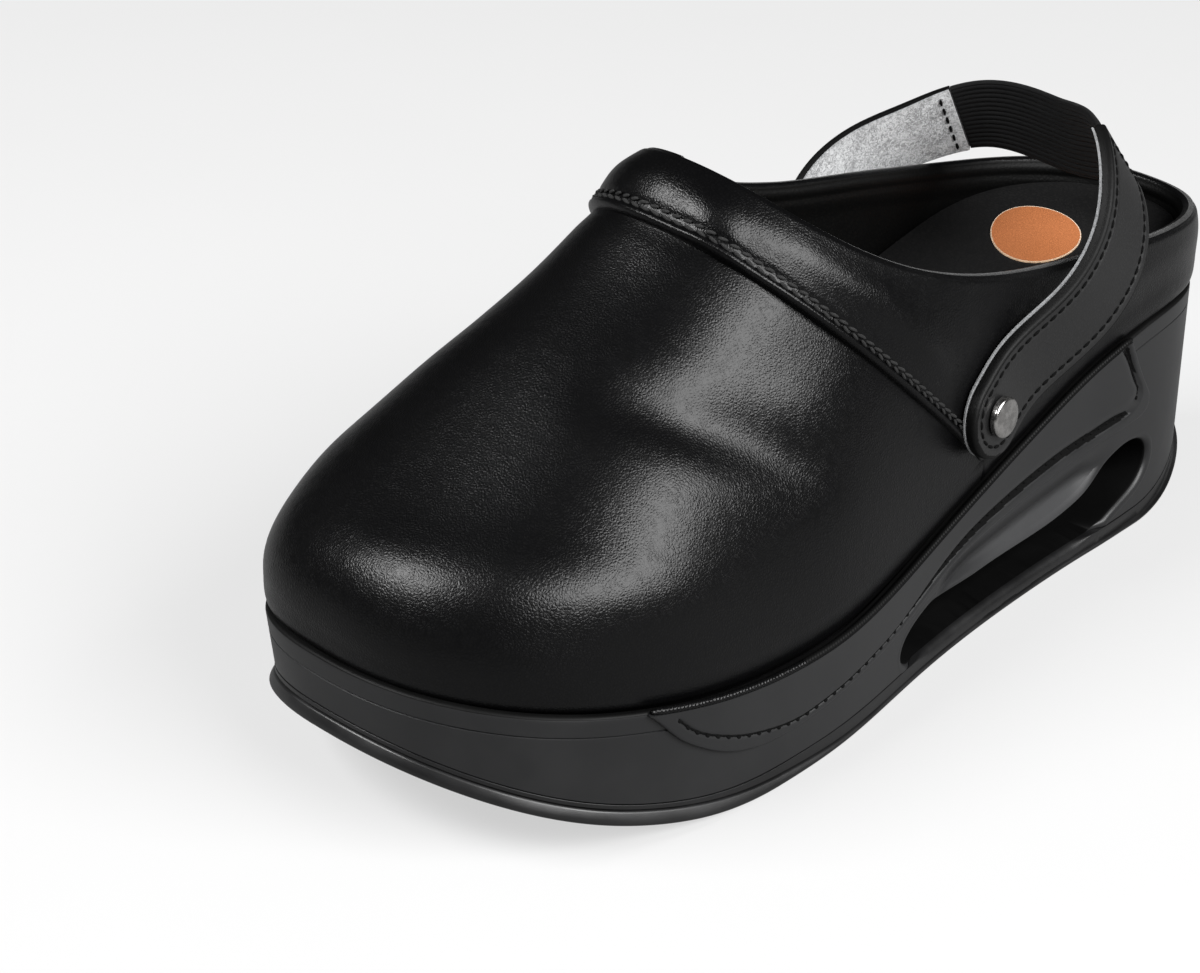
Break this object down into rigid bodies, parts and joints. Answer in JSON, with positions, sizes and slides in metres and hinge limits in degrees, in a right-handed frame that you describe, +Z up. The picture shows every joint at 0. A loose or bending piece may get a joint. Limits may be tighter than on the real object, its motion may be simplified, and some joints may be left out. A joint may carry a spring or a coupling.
{
  "type": "leather clog",
  "caption": "Black leather clog, left shoe, on a dark platform sole with a slot through its heel half and a leather and elastic heel strap held by rivets.",
  "frame": {"origin": "on the floor, under the middle of the shoe's bounding box", "axes": "+Z up from the floor, +Y towards the heel, +X towards the outer (lateral) side of this left shoe"},
  "size_m": [0.1024, 0.265, 0.1182],
  "materials": {
    "outsole_rubber": "matte moulded rubber",
    "platform_foam": "satin moulded polyurethane",
    "black_leather": "fine grained, semi-gloss",
    "footbed_leather": "matte",
    "strap_leather": "fine grained outside, grey suede inside",
    "ribbed_elastic": "ribbed lengthwise",
    "rivet_steel": "dark satin"
  },
  "bodies": {
    "root": {"outsole": "outsole_rubber", "sole": "platform_foam", "upper": "black_leather", "insole": "footbed_leather", "strap_lateral": "strap_leather", "strap_medial": "strap_leather", "strap_elastic": "ribbed_elastic", "rivet_lateral": "rivet_steel", "rivet_medial": "rivet_steel"}
  },
  "joints": []
}
